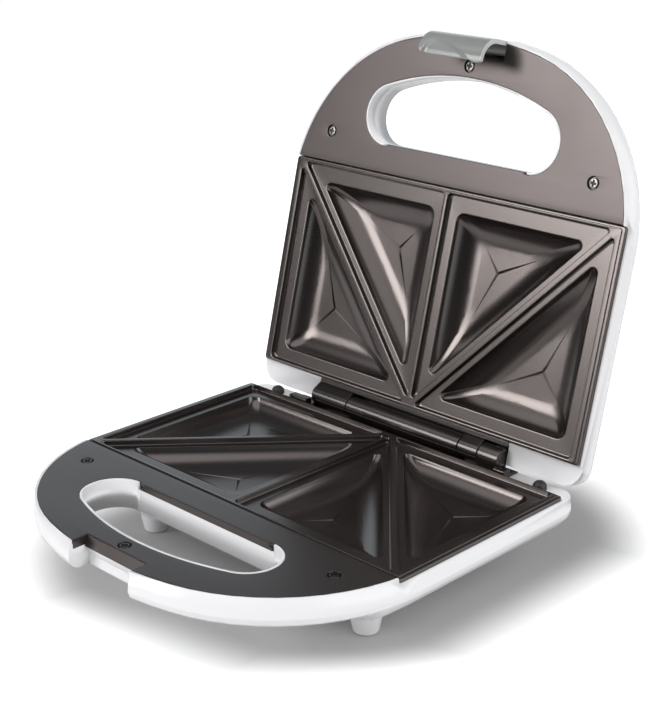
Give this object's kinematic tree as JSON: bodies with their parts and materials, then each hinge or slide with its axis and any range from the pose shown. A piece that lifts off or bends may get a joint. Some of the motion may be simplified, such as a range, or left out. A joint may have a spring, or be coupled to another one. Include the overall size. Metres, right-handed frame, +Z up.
{
  "type": "sandwich toaster",
  "caption": "Hinged sandwich toaster, open: two ridged cooking plates with triangular pockets in casings with a looped handle and a swing latch.",
  "frame": {"origin": "under the middle of the open toaster, on the table, at the height of the foot pads", "axes": "+X to the right seen from the handles, +Y from the handles towards the hinge, +Z up"},
  "size_m": [0.2188, 0.2614, 0.2438],
  "materials": {
    "casing_plastic": "high gloss, white",
    "cover_plastic": "satin, dark grey-brown",
    "plate_coating": "semi-gloss dark non-stick coating",
    "element_steel": "dull, heat-tinted",
    "reflector_sheet": "bright rolled sheet",
    "screw_steel": "zinc plated",
    "insulator": "unglazed, off-white",
    "wire_sleeving": "brown heat-proof sleeving",
    "gland_rubber": "matte black",
    "hinge_plastic": "gloss black",
    "pin_steel": "ground rod",
    "buffer_rubber": "matte black",
    "pad_rubber": "matte pale grey",
    "fuse_metal": "tinned",
    "fuse_sleeving": "woven glass-fibre sleeving",
    "holder_plastic": "satin, off-white",
    "lamp_glass": "clear, warm",
    "lens_red": "clear red",
    "lens_green": "clear green",
    "latch_plastic": "smoke grey, slightly see-through"
  },
  "bodies": {
    "base": {"base_shell": "casing_plastic", "base_handle_cover": "cover_plastic", "base_cover_screws": "screw_steel", "lower_plate": "plate_coating", "lower_heating_element": "element_steel", "lower_reflector": "reflector_sheet", "lower_reflector_screws": "screw_steel", "thermostat": "insulator", "terminal_block": "insulator", "base_wiring": "wire_sleeving", "cord_gland": "gland_rubber", "base_hinge_bracket": "hinge_plastic", "base_hinge_screws": "screw_steel", "hinge_pins": "pin_steel", "rear_buffers": "buffer_rubber", "foot_pads": "pad_rubber"},
    "lid": {"lid_shell": "casing_plastic", "lid_handle_cover": "cover_plastic", "lid_cover_screws": "screw_steel", "upper_plate": "plate_coating", "upper_heating_element": "element_steel", "upper_reflector": "reflector_sheet", "upper_reflector_screws": "screw_steel", "lid_hinge_bracket": "hinge_plastic", "lid_hinge_screws": "screw_steel", "thermal_fuse": "fuse_metal", "fuse_sleeve": "fuse_sleeving", "lamp_holder": "holder_plastic", "indicator_lamps": "lamp_glass", "power_lens": "lens_red", "ready_lens": "lens_green", "latch_pin": "pin_steel"},
    "latch": {"latch": "latch_plastic"}
  },
  "joints": [
    {"name": "lid_hinge", "type": "hinge", "parent": "base", "child": "lid", "pos_m": [0, 0.07135, 0.0471], "axis": [1, 0, 0], "range_deg": [0, 103.8]},
    {"name": "latch_pivot", "type": "hinge", "parent": "lid", "child": "latch", "pos_m": [0, 0.12211, 0.23697], "axis": [1, 0, 0], "range_deg": [-35, 8]}
  ]
}
